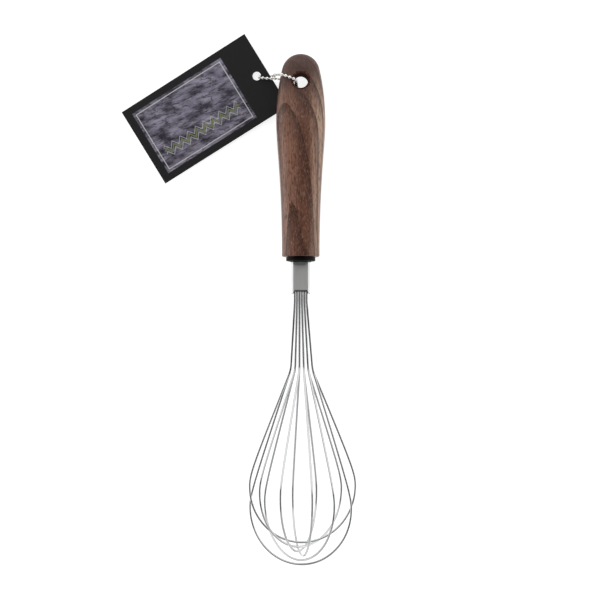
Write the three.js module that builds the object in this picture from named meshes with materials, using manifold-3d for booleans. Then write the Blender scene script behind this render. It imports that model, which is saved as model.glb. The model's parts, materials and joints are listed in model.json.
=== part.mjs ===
// A balloon whisk with a wooden handle, lying on a table with its hang tag on a ball chain.
// Millimetres, +Z up. The table is z = 0, and the handle points along +Y.
import * as THREE from 'three';
import { mergeVertices } from 'three/addons/utils/BufferGeometryUtils.js';
import Module from 'manifold-3d';

const wasm = await Module();
wasm.setup();

// Fits
const SEAT_GAP = 0.3;
const WIRE_GAP = 0.1;
const BEAD_GAP = 0.2;

// Wire cage, measured down from the mouth of the ferrule
const WIRE_DIAMETER = 1.25;
const LOOP_COUNT = 6;
const CAGE_RADIUS = 29.4;
const CAGE_TWIST = THREE.MathUtils.degToRad(4.6);
const NECK_LEAD = 6.0;
const SHOULDER_DROP = 43.4;
const SHOULDER_HALF_WIDTH = 6.0;
const SHOULDER_SWAY = 0.5;
const SHOULDER_RISE = 3.3;
const SHOULDER_BEND = 3.0;
const FLANK_STRAIGHTNESS = 9 / 10;
const FLANK_EASE = 6.9;
const BOWL_HEIGHT = 30.7;
const INNER_LOOP_DEPTH = 137.6;
const LOOP_PITCH = 2.4;
const LOOP_SWAY = [-0.3, -1.1, 0.8, -1.0, 0.3, 1.1];

// Ferrule, a flattened tube crimped on the wires
const FERRULE_EXPOSED = 16.4;
const FERRULE_WALL = 0.45;
const FERRULE_SIDE_ROUND = 0.56;
const FERRULE_TANG = 22.0;
const WIRE_SETBACK = 1.5;

// Collar, the plastic cap between the wood and the ferrule
const COLLAR_FLANGE_RIM = 1.45;
const COLLAR_FLANGE_HEIGHT = 2.1;
const COLLAR_EDGE = 0.4;
const COLLAR_SPIGOT_WALL = 1.2;
const COLLAR_SPIGOT_LENGTH = 14.0;

// Handle, measured from its free end
const HANDLE_LENGTH = 112.4;
const HANDLE_WIDTH = 27.1;
const HANDLE_WIDEST = 38.7;
const HANDLE_END_RADIUS = 10.5;
const HANDLE_END_TURN = THREE.MathUtils.degToRad(13.8);
const HANDLE_BASE_WIDTH = 20.7;
const HANDLE_BASE_EDGE = 0.8;
const HANDLE_SWELL_EASE = 1 / 3;
const HANDLE_TAPER_START = 1 / 6;
const HANDLE_TAPER_END = 4 / 9;
const HANDLE_END_FLATNESS = 0.58;
const HANDLE_BASE_FLATNESS = 0.91;
const HANDLE_SQUARENESS = 2.3;
const HANG_HOLE_DIAMETER = 8.0;
const HANG_HOLE_INSET = 15.7;
const HANG_HOLE_ROUNDING = 1.2;

// Ball chain and its clasp
const BEAD_DIAMETER = 1.8;
const BEAD_PITCH = 2.45;
const LINK_DIAMETER = 0.6;
const CLASP_LENGTH = 6.0;
const CLASP_WALL = 0.25;
const CLASP_LIP = 0.4;
const CLASP_HEADING = THREE.MathUtils.degToRad(-14);
const CLASP_FROM_HANG_HOLE = new THREE.Vector2(-9.2, 1.7);
const CHAIN_END_SPACE = 0.3;

// Hang tag, a card that lies on the table with its near end over the chain
const TAG_LENGTH = 82.0;
const TAG_WIDTH = 47.0;
const TAG_THICKNESS = 0.6;
const TAG_HOLE_DIAMETER = 4.8;
const TAG_HOLE_INSET = 6.45;
const TAG_HEADING = THREE.MathUtils.degToRad(31.3);
const TAG_FROM_HANG_HOLE = new THREE.Vector2(-25.1, 4.25);

// Facets
const WIRE_SIDES = 8;
const WIRE_STEPS = 80;
const ROUND_SIDES = 36;
const HOLE_SIDES = 24;
const CURVE_STEPS = 6;
const CHAIN_SIDES = 6;
const RINGS_PER_BEAD = 6;
const ROUTE_DIVISIONS = 2000;
const MERGE_DISTANCE = 1e-4;

// Search for the angle at which the whisk lies
const STEEPEST_LIE = THREE.MathUtils.degToRad(30);
const LIE_HALVINGS = 40;

// Packing of the wire legs in the ferrule: two rows, and corners that are rounder than the legs need
const WIRE_RADIUS = WIRE_DIAMETER / 2;
const ROW_PITCH = WIRE_DIAMETER + WIRE_GAP;
const ROW_END = (LOOP_COUNT - 1) / 2 * ROW_PITCH;
const ROW_OFFSET = (WIRE_DIAMETER + WIRE_GAP) / 2;
const CORNER_OFFSET = ROW_OFFSET - FERRULE_SIDE_ROUND;
const BORE_MARGIN = WIRE_RADIUS + WIRE_GAP + FERRULE_SIDE_ROUND;
const FERRULE_MARGIN = BORE_MARGIN + FERRULE_WALL;
const SLOT_MARGIN = FERRULE_MARGIN + SEAT_GAP;

// Places along the whisk's own axis, which runs from the mouth of the ferrule towards the handle
const HANDLE_BASE = FERRULE_EXPOSED + COLLAR_FLANGE_HEIGHT + SEAT_GAP;
const HANDLE_END = HANDLE_BASE + HANDLE_LENGTH;
const HANG_HOLE_AT = HANDLE_END - HANG_HOLE_INSET;
const FERRULE_TOP = HANDLE_BASE + FERRULE_TANG;
const SPIGOT_RADIUS = ROW_END + SLOT_MARGIN + COLLAR_SPIGOT_WALL;
const FLANGE_RADIUS = SPIGOT_RADIUS + COLLAR_FLANGE_RIM;
const HANDLE_BORE_RADIUS = SPIGOT_RADIUS + SEAT_GAP;

// Heights over the table
const BEAD_RADIUS = BEAD_DIAMETER / 2;
const CLASP_RADIUS = BEAD_RADIUS + BEAD_GAP + CLASP_WALL;
const HANDLE_LIFT = BEAD_DIAMETER + SEAT_GAP;
const TAG_LIFT = BEAD_DIAMETER + SEAT_GAP;
const TAG_TILT = Math.asin(TAG_LIFT / (TAG_LENGTH - TAG_HOLE_INSET));

// Finishes
function finish(color, roughness, metalness) {
  return new THREE.MeshStandardMaterial({ color, roughness, metalness });
}

const walnut = () => finish('#6b5148', 0.55, 0);
const blackPlastic = () => finish('#1c1b1b', 0.45, 0);
const satinSteel = () => finish('#a9a9a8', 0.35, 1);
const polishedSteel = () => finish('#c4c5c6', 0.18, 1);
const nickel = () => finish('#d0d0d2', 0.2, 1);
const printedCard = () => finish('#2d2c2f', 0.5, 0);

function piece(name, geometry, material) {
  const mesh = new THREE.Mesh(geometry, material);
  mesh.name = name;
  return mesh;
}

// Solids for cutting and joining
function toSolid(geometry) {
  const bare = geometry.clone();
  bare.deleteAttribute('normal');
  bare.deleteAttribute('uv');
  const merged = mergeVertices(bare, MERGE_DISTANCE);
  const index = merged.index.array;
  const kept = [];
  for (let i = 0; i < index.length; i += 3) {
    const [a, b, c] = index.slice(i, i + 3);
    if (a !== b && b !== c && c !== a) {
      kept.push(a, b, c);
    }
  }
  const vertProperties = new Float32Array(merged.attributes.position.array);
  const triVerts = new Uint32Array(kept);
  return new wasm.Manifold(new wasm.Mesh({ numProp: 3, vertProperties, triVerts }));
}

function toGeometry(solid) {
  const mesh = solid.getMesh();
  const geometry = new THREE.BufferGeometry();
  geometry.setAttribute('position', new THREE.BufferAttribute(mesh.vertProperties, 3));
  geometry.setIndex(new THREE.BufferAttribute(mesh.triVerts, 1));
  geometry.computeVertexNormals();
  return geometry;
}

// Shapes that several pieces share
function circle(radius) {
  return new THREE.Shape().absarc(0, 0, radius, 0, 2 * Math.PI);
}

// A line round the packed legs, given by the radius of its corners
function sleeve(margin) {
  const shape = new THREE.Shape();
  shape.absarc(ROW_END, -CORNER_OFFSET, margin, -Math.PI / 2, 0);
  shape.absarc(ROW_END, CORNER_OFFSET, margin, 0, Math.PI / 2);
  shape.absarc(-ROW_END, CORNER_OFFSET, margin, Math.PI / 2, Math.PI);
  shape.absarc(-ROW_END, -CORNER_OFFSET, margin, Math.PI, 3 * Math.PI / 2);
  shape.closePath();
  return shape;
}

// A shape drawn square to the whisk's axis, drawn out between two places along it
function along(shape, from, to) {
  const geometry = new THREE.ExtrudeGeometry(shape, {
    depth: to - from,
    bevelEnabled: false,
    curveSegments: CURVE_STEPS,
  });
  geometry.rotateX(-Math.PI / 2);
  geometry.translate(0, from, 0);
  return geometry;
}

function rod(radius, from, to) {
  const geometry = new THREE.CylinderGeometry(radius, radius, to - from, ROUND_SIDES);
  geometry.translate(0, (from + to) / 2, 0);
  return geometry;
}

// Handle
function handleOutline() {
  const half = HANDLE_WIDTH / 2;
  const base = HANDLE_BASE_WIDTH / 2;
  const turn = -HANDLE_END_TURN;
  const side = new THREE.Vector2(Math.cos(turn), 1 + Math.sin(turn)).multiplyScalar(HANDLE_END_RADIUS);
  const rise = HANDLE_WIDEST - side.y;
  const run = HANDLE_LENGTH - HANDLE_BASE_EDGE - HANDLE_WIDEST;
  const outline = new THREE.Path();
  outline.absarc(0, HANDLE_END_RADIUS, HANDLE_END_RADIUS, -Math.PI / 2, turn);
  outline.bezierCurveTo(
    side.x + Math.tan(HANDLE_END_TURN) * rise * HANDLE_SWELL_EASE, side.y + rise * HANDLE_SWELL_EASE,
    half, HANDLE_WIDEST - rise * HANDLE_SWELL_EASE,
    half, HANDLE_WIDEST,
  );
  outline.bezierCurveTo(
    half, HANDLE_WIDEST + run * HANDLE_TAPER_START,
    base, HANDLE_WIDEST + run * HANDLE_TAPER_END,
    base, HANDLE_WIDEST + run,
  );
  outline.lineTo(base - HANDLE_BASE_EDGE, HANDLE_LENGTH);
  outline.lineTo(0, HANDLE_LENGTH);
  return outline.getPoints(CURVE_STEPS);
}

// The section is flatter towards the free end, and a little squarer than an ellipse throughout.
function flatnessAt(fromEnd) {
  const share = THREE.MathUtils.smoothstep(fromEnd, 0, HANDLE_LENGTH);
  return THREE.MathUtils.lerp(HANDLE_END_FLATNESS, HANDLE_BASE_FLATNESS, share);
}

function squared(value) {
  return Math.sign(value) * Math.abs(value) ** (2 / HANDLE_SQUARENESS);
}

function handleBody() {
  const profile = handleOutline().map((p) => new THREE.Vector2(p.x, HANDLE_END - p.y)).reverse();
  const geometry = new THREE.LatheGeometry(profile, ROUND_SIDES);
  const position = geometry.attributes.position;
  for (let i = 0; i < position.count; i += 1) {
    const radius = Math.hypot(position.getX(i), position.getZ(i));
    if (radius > 0) {
      const flatness = flatnessAt(HANDLE_END - position.getY(i));
      position.setX(i, radius * squared(position.getX(i) / radius));
      position.setZ(i, radius * flatness * squared(position.getZ(i) / radius));
    }
  }
  return geometry;
}

function halfWidthAt(fromEnd) {
  const points = handleOutline();
  const after = points.findIndex((p) => p.y > fromEnd);
  const [low, high] = [points[after - 1], points[after]];
  return THREE.MathUtils.mapLinear(fromEnd, low.y, high.y, low.x, high.x);
}

const HANG_HOLE_HALF_DEPTH = halfWidthAt(HANG_HOLE_INSET) * flatnessAt(HANG_HOLE_INSET);

// The space of the hang hole, with both rims rounded over.
function hangHoleCutter() {
  const radius = HANG_HOLE_DIAMETER / 2;
  const wide = radius + HANG_HOLE_ROUNDING;
  const straight = HANG_HOLE_HALF_DEPTH - HANG_HOLE_ROUNDING;
  const past = HANG_HOLE_HALF_DEPTH + HANG_HOLE_DIAMETER;
  const outline = new THREE.Path();
  outline.moveTo(0, -past);
  outline.lineTo(wide, -past);
  outline.lineTo(wide, -HANG_HOLE_HALF_DEPTH);
  outline.absarc(wide, -straight, HANG_HOLE_ROUNDING, -Math.PI / 2, -Math.PI, true);
  outline.lineTo(radius, straight);
  outline.absarc(wide, straight, HANG_HOLE_ROUNDING, Math.PI, Math.PI / 2, true);
  outline.lineTo(wide, past);
  outline.lineTo(0, past);
  const geometry = new THREE.LatheGeometry(outline.getPoints(CURVE_STEPS / 2), HOLE_SIDES);
  geometry.rotateX(Math.PI / 2);
  geometry.translate(0, HANG_HOLE_AT, 0);
  return geometry;
}

function handle() {
  const bore = rod(HANDLE_BORE_RADIUS, HANDLE_BASE - HANDLE_LENGTH, FERRULE_TOP + SEAT_GAP);
  const wood = toSolid(handleBody()).subtract(toSolid(bore)).subtract(toSolid(hangHoleCutter()));
  return piece('handle', toGeometry(wood), walnut());
}

// Collar
function collar() {
  const face = FERRULE_EXPOSED;
  const seat = face + COLLAR_FLANGE_HEIGHT;
  const spigotEnd = seat + COLLAR_SPIGOT_LENGTH;
  const profile = [
    new THREE.Vector2(0, face),
    new THREE.Vector2(FLANGE_RADIUS - COLLAR_EDGE, face),
    new THREE.Vector2(FLANGE_RADIUS, face + COLLAR_EDGE),
    new THREE.Vector2(FLANGE_RADIUS, seat),
    new THREE.Vector2(SPIGOT_RADIUS, seat),
    new THREE.Vector2(SPIGOT_RADIUS, spigotEnd),
    new THREE.Vector2(0, spigotEnd),
  ];
  const slot = along(sleeve(SLOT_MARGIN), 0, spigotEnd + FERRULE_TANG);
  const body = toSolid(new THREE.LatheGeometry(profile, ROUND_SIDES));
  return piece('collar', toGeometry(body.subtract(toSolid(slot))), blackPlastic());
}

// Ferrule
function ferrule() {
  const section = sleeve(FERRULE_MARGIN);
  section.holes.push(sleeve(BORE_MARGIN));
  return piece('ferrule', along(section, 0, FERRULE_TOP), satinSteel());
}

// Wire loops. Loop 0 hangs lowest. The front legs keep their order across the ferrule and the shoulder,
// and so do the back legs. Each loop was set by hand and sways a little to one side, and so does the shoulder.
function legCurves(loop, side) {
  const spacing = Math.PI / LOOP_COUNT;
  const azimuth = spacing / 2 + CAGE_TWIST + loop * spacing;
  const depth = INNER_LOOP_DEPTH + (LOOP_COUNT - 1 - loop) * LOOP_PITCH;
  const widest = depth - BOWL_HEIGHT;
  const roundness = 4 / 3 * (Math.SQRT2 - 1);
  const across = 1 - 2 * loop / (LOOP_COUNT - 1);
  const rise = ROW_OFFSET + SHOULDER_RISE * Math.sqrt(1 - across ** 2);
  const sway = LOOP_SWAY[loop % LOOP_SWAY.length];
  const at = (radius, drop) => new THREE.Vector3(
    side * radius * Math.cos(azimuth) + sway, -drop, side * radius * Math.sin(azimuth),
  );
  const top = new THREE.Vector3(side * ROW_END * across, FERRULE_TOP - WIRE_SETBACK, side * ROW_OFFSET);
  const mouth = top.clone().setY(-NECK_LEAD);
  const shoulder = new THREE.Vector3(
    side * SHOULDER_HALF_WIDTH * across + SHOULDER_SWAY, -SHOULDER_DROP, side * rise,
  );
  const flank = at(CAGE_RADIUS, widest);
  const overFlank = at(CAGE_RADIUS, widest - FLANK_EASE);
  const bendFrom = shoulder.clone().addScaledVector(mouth.clone().sub(shoulder).normalize(), SHOULDER_BEND);
  const bendTo = shoulder.clone().addScaledVector(overFlank.clone().sub(shoulder).normalize(), SHOULDER_BEND);
  return [
    new THREE.LineCurve3(top, mouth),
    new THREE.LineCurve3(mouth, bendFrom),
    new THREE.QuadraticBezierCurve3(bendFrom, shoulder, bendTo),
    new THREE.CubicBezierCurve3(bendTo, bendTo.clone().lerp(overFlank, FLANK_STRAIGHTNESS), overFlank, flank),
    new THREE.CubicBezierCurve3(
      flank,
      at(CAGE_RADIUS, widest + roundness * BOWL_HEIGHT),
      at(roundness * CAGE_RADIUS, depth),
      at(0, depth),
    ),
  ];
}

function reversed(curve) {
  if (curve.isLineCurve3) {
    return new THREE.LineCurve3(curve.v2, curve.v1);
  }
  return curve.isQuadraticBezierCurve3
    ? new THREE.QuadraticBezierCurve3(curve.v2, curve.v1, curve.v0)
    : new THREE.CubicBezierCurve3(curve.v3, curve.v2, curve.v1, curve.v0);
}

function wireLoop(loop) {
  const path = new THREE.CurvePath();
  path.curves = [...legCurves(loop, 1), ...legCurves(loop, -1).reverse().map(reversed)];
  const geometry = new THREE.ExtrudeGeometry(circle(WIRE_RADIUS), {
    steps: WIRE_STEPS,
    extrudePath: path,
    curveSegments: WIRE_SIDES / 2,
  });
  return piece(`wire_loop_${loop + 1}`, geometry, polishedSteel());
}

// The whisk, built along its own axis
const whisk = new THREE.Group();
const wood = handle();
const loops = Array.from({ length: LOOP_COUNT }, (_, loop) => wireLoop(loop));
whisk.add(wood, collar(), ferrule(), ...loops);
whisk.rotation.y = CAGE_TWIST;

// How the whisk lies: on two legs of the cage, and with the handle just over the chain under it
function lowest(meshes, tilt) {
  const turn = new THREE.Matrix4().makeRotationX(-tilt);
  turn.multiply(new THREE.Matrix4().makeRotationY(CAGE_TWIST));
  const point = new THREE.Vector3();
  let low = Infinity;
  for (const mesh of meshes) {
    const position = mesh.geometry.attributes.position;
    for (let i = 0; i < position.count; i += 1) {
      point.fromBufferAttribute(position, i).applyMatrix4(turn);
      low = Math.min(low, point.z);
    }
  }
  return low;
}

function restTilt() {
  let [flat, steep] = [0, STEEPEST_LIE];
  for (let step = 0; step < LIE_HALVINGS; step += 1) {
    const tilt = (flat + steep) / 2;
    if (lowest([wood], tilt) - HANDLE_LIFT > lowest(loops, tilt)) {
      flat = tilt;
    } else {
      steep = tilt;
    }
  }
  return flat;
}

const lying = new THREE.Group();
lying.rotation.x = -restTilt();
lying.add(whisk);
lying.updateMatrixWorld(true);
const reach = new THREE.Box3().setFromObject(lying, true);
const middle = reach.getCenter(new THREE.Vector3());
lying.position.set(-middle.x, -middle.y, -reach.min.z);
lying.updateMatrixWorld(true);

const hangHole = new THREE.Vector3(0, HANG_HOLE_AT, 0).applyMatrix4(whisk.matrixWorld);
const hangHoleTop = new THREE.Vector3(0, HANG_HOLE_AT, HANG_HOLE_HALF_DEPTH).applyMatrix4(whisk.matrixWorld);

// Ball chain. It goes from its clasp up through the hang hole, over the handle, down to the table,
// under the tag, back through the tag's hole and over its edge to the clasp under the handle.
const OVER_HANDLE = hangHoleTop.z + SEAT_GAP + BEAD_RADIUS;
const ON_TABLE = BEAD_RADIUS;
const OVER_TAG = TAG_LIFT + TAG_THICKNESS + 2 * SEAT_GAP + BEAD_RADIUS;
const CLASP_CENTRE = new THREE.Vector3(CLASP_FROM_HANG_HOLE.x, CLASP_FROM_HANG_HOLE.y, CLASP_RADIUS);
const CLASP_AXIS = new THREE.Vector3(Math.cos(CLASP_HEADING), Math.sin(CLASP_HEADING), 0);

function chainRoute() {
  const inClasp = (distance) => CLASP_CENTRE.clone().addScaledVector(CLASP_AXIS, distance);
  const ends = [CHAIN_END_SPACE, 0.3 * CLASP_LENGTH, CLASP_LENGTH / 2 + CHAIN_END_SPACE];
  const points = [
    ...ends.map((distance) => inClasp(distance)),
    [-4.7, -0.1, ON_TABLE + 0.2],
    [-3.4, -1.2, ON_TABLE + 0.9],
    [-2.6, -1.9, ON_TABLE + 2.8],
    [-2.6, -1.7, OVER_HANDLE - 11.2],
    [-2.5, -1.0, OVER_HANDLE - 7.8],
    [-2.4, -0.2, OVER_HANDLE - 4.6],
    [-2.3, 0.6, OVER_HANDLE - 2.0],
    [-3.3, 1.4, OVER_HANDLE - 0.2],
    [-5.3, 2.2, OVER_HANDLE + 0.3],
    [-8.0, 3.2, OVER_HANDLE - 0.4],
    [-10.8, 4.0, OVER_HANDLE - 1.9],
    [-13.0, 4.3, OVER_HANDLE - 4.6],
    [-14.2, 4.4, OVER_HANDLE - 8.2],
    [-14.8, 4.4, ON_TABLE + 4.6],
    [-15.4, 4.4, ON_TABLE + 1.7],
    [-16.6, 4.4, ON_TABLE + 0.2],
    [-18.4, 4.4, ON_TABLE],
    [-21.4, 4.3, ON_TABLE],
    [-23.3, 4.1, ON_TABLE + 0.4],
    [-24.1, 3.8, (ON_TABLE + OVER_TAG) / 2],
    [-23.3, 3.4, OVER_TAG - 0.4],
    [-21.4, 3.0, OVER_TAG],
    [-18.6, 2.7, OVER_TAG],
    [-15.9, 2.6, OVER_TAG],
    [-14.3, 2.7, OVER_TAG - 1.1],
    [-13.2, 2.65, CLASP_RADIUS + 0.3],
    ...ends.toReversed().map((distance) => inClasp(-distance)),
  ];
  return new THREE.CatmullRomCurve3(points.map((p) => (p.isVector3 ? p : new THREE.Vector3(...p))));
}

// A straight string of beads, turned about its axis and then bent along the route.
function ballChain() {
  const route = chainRoute();
  route.arcLengthDivisions = ROUTE_DIVISIONS;
  const beads = Math.round(route.getLength() / BEAD_PITCH);
  const steps = beads * RINGS_PER_BEAD;
  const frames = route.computeFrenetFrames(steps);
  const radiusAt = (step) => {
    const fromBead = ((step % RINGS_PER_BEAD) / RINGS_PER_BEAD - 0.5) * BEAD_PITCH;
    return Math.sqrt(Math.max((LINK_DIAMETER / 2) ** 2, BEAD_RADIUS ** 2 - fromBead ** 2));
  };
  const profile = [new THREE.Vector2(0, 0)];
  for (let step = 0; step <= steps; step += 1) {
    profile.push(new THREE.Vector2(radiusAt(step), step));
  }
  profile.push(new THREE.Vector2(0, steps));
  const geometry = new THREE.LatheGeometry(profile, CHAIN_SIDES);
  const position = geometry.attributes.position;
  const point = new THREE.Vector3();
  for (let i = 0; i < position.count; i += 1) {
    const step = Math.round(position.getY(i));
    route.getPointAt(step / steps, point);
    point.addScaledVector(frames.binormals[step], position.getX(i));
    point.addScaledVector(frames.normals[step], position.getZ(i));
    position.setXYZ(i, ...point);
  }
  return piece('ball_chain', geometry, nickel());
}

// The clasp, a sleeve with a narrowed lip at each end, that traps the two end beads.
function chainClasp() {
  const half = CLASP_LENGTH / 2;
  const bore = BEAD_RADIUS + BEAD_GAP;
  const lip = LINK_DIAMETER / 2 + BEAD_GAP;
  const profile = [
    [lip, -half],
    [CLASP_RADIUS - CLASP_WALL, -half],
    [CLASP_RADIUS, CLASP_LIP - half],
    [CLASP_RADIUS, half - CLASP_LIP],
    [CLASP_RADIUS - CLASP_WALL, half],
    [lip, half],
    [lip, half - CLASP_LIP],
    [bore, half - 2 * CLASP_LIP],
    [bore, 2 * CLASP_LIP - half],
    [lip, CLASP_LIP - half],
    [lip, -half],
  ];
  const geometry = new THREE.LatheGeometry(profile.map((p) => new THREE.Vector2(...p)), HOLE_SIDES / 2);
  const clasp = piece('chain_clasp', geometry, nickel());
  clasp.rotation.z = CLASP_HEADING - Math.PI / 2;
  clasp.position.copy(CLASP_CENTRE);
  return clasp;
}

const chain = new THREE.Group();
chain.position.set(hangHole.x, hangHole.y, 0);
chain.add(ballChain(), chainClasp());

// Hang tag, drawn with its hole at the origin and its near end towards +X
function hangTag() {
  const near = TAG_HOLE_INSET;
  const far = TAG_HOLE_INSET - TAG_LENGTH;
  const half = TAG_WIDTH / 2;
  const card = new THREE.Shape();
  card.moveTo(far, -half);
  card.lineTo(near, -half);
  card.lineTo(near, half);
  card.lineTo(far, half);
  card.closePath();
  card.holes.push(circle(TAG_HOLE_DIAMETER / 2));
  const geometry = new THREE.ExtrudeGeometry(card, {
    depth: TAG_THICKNESS,
    bevelEnabled: false,
    curveSegments: HOLE_SIDES / 2,
  });
  const tag = piece('hang_tag', geometry, printedCard());
  tag.rotation.y = -TAG_TILT;
  return tag;
}

const tagTurn = new THREE.Group();
tagTurn.rotation.z = TAG_HEADING;
tagTurn.position.set(hangHole.x + TAG_FROM_HANG_HOLE.x, hangHole.y + TAG_FROM_HANG_HOLE.y, TAG_LIFT);
tagTurn.add(hangTag());

const assembly = new THREE.Group();
assembly.add(lying, chain, tagTurn);

export default assembly;
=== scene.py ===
"""A balloon whisk with a walnut handle and a hang tag on a ball chain, dressed round its solids."""
import json
import logging
import math
from abc import ABC, abstractmethod
from collections.abc import Iterable, Sequence
from dataclasses import dataclass, field
from enum import Enum

import bmesh
import bpy
from bmesh.types import BMEdge, BMesh
from bpy.types import Material, Mesh, NodeSocket, NodeTree, Object
from mathutils import Matrix, Vector
from mathutils.geometry import interpolate_bezier


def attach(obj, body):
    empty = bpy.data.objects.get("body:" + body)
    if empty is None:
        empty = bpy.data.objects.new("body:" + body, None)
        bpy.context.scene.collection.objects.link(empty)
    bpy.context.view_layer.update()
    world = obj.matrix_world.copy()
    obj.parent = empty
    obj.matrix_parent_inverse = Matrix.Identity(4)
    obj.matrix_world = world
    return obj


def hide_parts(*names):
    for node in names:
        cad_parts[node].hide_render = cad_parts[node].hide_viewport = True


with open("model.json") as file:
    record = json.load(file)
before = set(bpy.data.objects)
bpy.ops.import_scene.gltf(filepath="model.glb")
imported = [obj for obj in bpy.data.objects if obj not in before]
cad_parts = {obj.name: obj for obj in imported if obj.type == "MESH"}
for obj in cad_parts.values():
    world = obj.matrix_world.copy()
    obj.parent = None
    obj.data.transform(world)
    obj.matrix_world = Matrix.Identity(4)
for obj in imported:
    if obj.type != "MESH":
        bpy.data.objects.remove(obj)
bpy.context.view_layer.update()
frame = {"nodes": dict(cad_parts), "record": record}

LOG = logging.getLogger("whisk")
MM = 0.001
SHARP_ANGLE = math.radians(38)
MERGE_DISTANCE = 1e-6
# Handle length of a quarter of a circle drawn as one curve
QUARTER_ROUND = 4 / 3 * (math.sqrt(2) - 1)
# Sizes or places along three axes
Triple = tuple[float, float, float]
# A point of a curve, between the handles before and after it
Knot = tuple[Vector, Vector, Vector]


class Body(Enum):
    """The bodies that pieces ride on."""

    WHISK = "whisk"
    CHAIN = "chain"


class Slot(Enum):
    """The material slots of the record."""

    WALNUT = "walnut"
    BLACK_PLASTIC = "black_plastic"
    SATIN_STEEL = "satin_steel"
    POLISHED_STEEL = "polished_steel"
    NICKEL = "nickel"


@dataclass(frozen=True)
class Place:
    """Where a piece's own axes lie in the shared frame."""

    matrix: Matrix

    def point(self, x: float, y: float, z: float) -> Vector:
        """A point given on the piece's own axes, in the shared frame."""
        return self.matrix @ Vector((x, y, z))


def whisk_place(hang_hole_from_mouth: float) -> Place:
    """Work out how the whisk lies from the hang hole that the record states.

    The whisk's own +Y runs from the mouth of the ferrule to the handle, and its +Z out of the handle's front.

    Args:
        hang_hole_from_mouth: Distance from the mouth of the ferrule to the hang hole.

    Returns:
        The place of the whisk, with its origin in the mouth of the ferrule.
    """
    mounts = {mount["name"]: mount for mount in frame["record"]["mounts"]}
    normal = Vector(mounts["hang_hole"]["axis"]).normalized()
    lie = math.atan2(normal.y, normal.z)
    twist = math.asin(normal.x)
    turn = Matrix.Rotation(-lie, 4, "X") @ Matrix.Rotation(twist, 4, "Y")
    mouth = Vector(mounts["hang_hole"]["pos_m"]) - turn @ Vector((0, hang_hole_from_mouth, 0))
    return Place(Matrix.Translation(mouth) @ turn)


# Mesh helpers


def quarter_turn(steps: int) -> list[float]:
    """Angles from zero to a quarter turn, in even steps."""
    return [math.pi / 2 * step / steps for step in range(steps + 1)]


def stood(centre: Vector, along: Vector) -> Matrix:
    """A place at a centre, with its Z axis along a direction."""
    return Matrix.Translation(centre) @ along.to_track_quat("Z", "Y").to_matrix().to_4x4()


def baked(made: Object) -> Mesh:
    """A mesh of an object as it is seen, with its modifiers or its bevel."""
    return bpy.data.meshes.new_from_object(made.evaluated_get(bpy.context.evaluated_depsgraph_get()))


def linked(name: str, mesh: Mesh, *finishes: Material) -> Object:
    """Put a mesh in the scene as an object at the origin.

    Args:
        name: Name of the object and of its mesh.
        mesh: The mesh, already in its place.
        finishes: Its materials, in the order of its faces' material numbers.

    Returns:
        The new object.
    """
    mesh.name = name
    for finish in finishes:
        mesh.materials.append(finish)
    made = bpy.data.objects.new(name, mesh)
    bpy.context.scene.collection.objects.link(made)
    return made


def to_mesh(bm: BMesh, matrix: Matrix) -> Mesh:
    """Close a bmesh, turn its faces outwards and write it as a smooth mesh.

    Args:
        bm: The bmesh, on the piece's own axes. It is freed.
        matrix: Where those axes lie.

    Returns:
        The mesh, shaded smooth except across sharp edges.
    """
    bmesh.ops.remove_doubles(bm, verts=bm.verts, dist=MERGE_DISTANCE)
    bmesh.ops.recalc_face_normals(bm, faces=bm.faces)
    bmesh.ops.transform(bm, matrix=matrix, verts=bm.verts)
    mesh = bpy.data.meshes.new("piece")
    bm.to_mesh(mesh)
    bm.free()
    shade(mesh)
    return mesh


def shade(mesh: Mesh) -> None:
    """Shade a mesh smooth, with its sharp edges kept."""
    mesh.polygons.foreach_set("use_smooth", [True] * len(mesh.polygons))
    mesh.set_sharp_from_angle(angle=SHARP_ANGLE)


def turned(outline: Iterable[tuple[float, float]], steps: int) -> BMesh:
    """Turn an outline about the Y axis, as on a lathe.

    Args:
        outline: Points as (radius, distance along Y).
        steps: Facets round the axis.

    Returns:
        The turned shape.
    """
    bm = bmesh.new()
    points = [bm.verts.new((radius, along, 0)) for radius, along in outline]
    edges = [bm.edges.new(pair) for pair in zip(points, points[1:])]
    bmesh.ops.spin(
        bm, geom=points + edges, cent=(0, 0, 0), axis=(0, 1, 0), angle=math.tau, steps=steps, use_merge=True
    )
    bmesh.ops.remove_doubles(bm, verts=bm.verts, dist=MERGE_DISTANCE)
    return bm


def sleeve_ring(
    bm: BMesh, radius: float, spread: tuple[float, float], along: float, steps: int
) -> list[BMEdge]:
    """Add a flat ring square to the Y axis: a circle whose quarters are moved apart.

    Args:
        bm: The bmesh to add it to.
        radius: Radius of the circle, which stays as the radius of the corners.
        spread: How far each quarter moves out along X and along Z.
        along: Place of the ring on the Y axis.
        steps: Points round it.

    Returns:
        The edges of the ring.
    """
    stand = Matrix.Translation((0, along, 0)) @ Matrix.Rotation(math.pi / 2, 4, "X")
    half_step = Matrix.Rotation(math.pi / steps, 4, "Z")
    made = bmesh.ops.create_circle(bm, segments=steps, radius=radius, matrix=stand @ half_step)
    ring = set(made["verts"])
    for vert in ring:
        vert.co.x += math.copysign(spread[0], vert.co.x)
        vert.co.z += math.copysign(spread[1], vert.co.z)
    return [edge for edge in bm.edges if ring.issuperset(edge.verts)]


def lofted(rings: Sequence[tuple[float, tuple[float, float], float]], steps: int) -> BMesh:
    """Join a closed series of rings into one tube-like shell.

    Args:
        rings: Radius, spread and place along Y of each ring. The last one joins the first.
        steps: Points round each ring.

    Returns:
        The closed shell.
    """
    bm = bmesh.new()
    loops = [sleeve_ring(bm, *ring, steps) for ring in rings]
    for near, far in zip(loops, loops[1:] + loops[:1]):
        bmesh.ops.bridge_loops(bm, edges=near + far)
    return bm


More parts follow.
